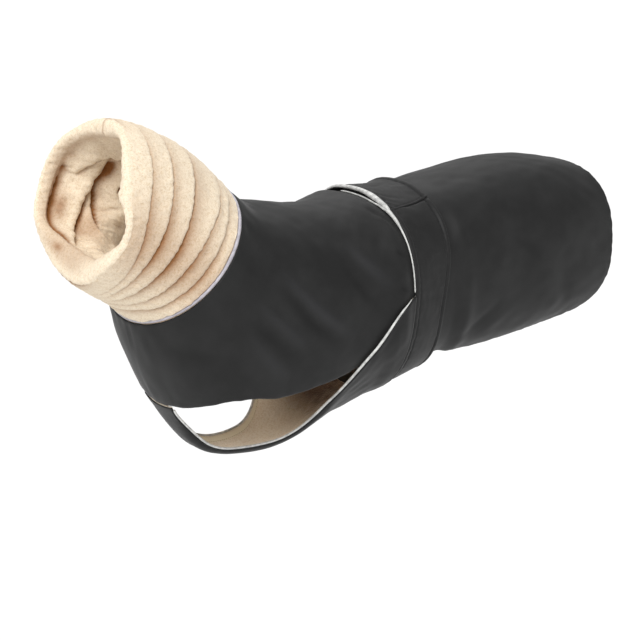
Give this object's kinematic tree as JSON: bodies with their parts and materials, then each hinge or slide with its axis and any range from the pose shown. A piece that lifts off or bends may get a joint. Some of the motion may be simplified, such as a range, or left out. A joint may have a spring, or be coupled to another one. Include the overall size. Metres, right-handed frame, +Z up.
{
  "type": "dog winter coat with snood",
  "caption": "Dog's winter coat: black quilted back, strap and belly panel with white piping, lapped belly band, and a slouchy fleece snood with a rolled mouth.",
  "frame": {"origin": "inside the back under the middle of the belly band, where a dog's back carries the coat", "axes": "+X along the back toward the tail, with the snood toward -X; +Y toward the dog's right side; +Z up"},
  "size_m": [0.7091, 0.2364, 0.4002],
  "materials": {
    "black_shell": "smooth matt shell cloth",
    "beige_fleece": "soft short-pile fleece",
    "white_piping": "smooth corded piping",
    "grey_piping": "smooth corded piping"
  },
  "bodies": {
    "root": {"shoulder_panel": "black_shell", "loin_panel": "black_shell", "chest_panel": "black_shell", "chest_lining": "beige_fleece", "belly_band": "black_shell", "snood": "beige_fleece", "snood_facing": "beige_fleece", "neck_piping": "grey_piping", "band_piping_left": "white_piping", "band_piping_right": "white_piping", "chest_piping_left": "white_piping", "chest_piping_right": "white_piping"}
  },
  "joints": []
}
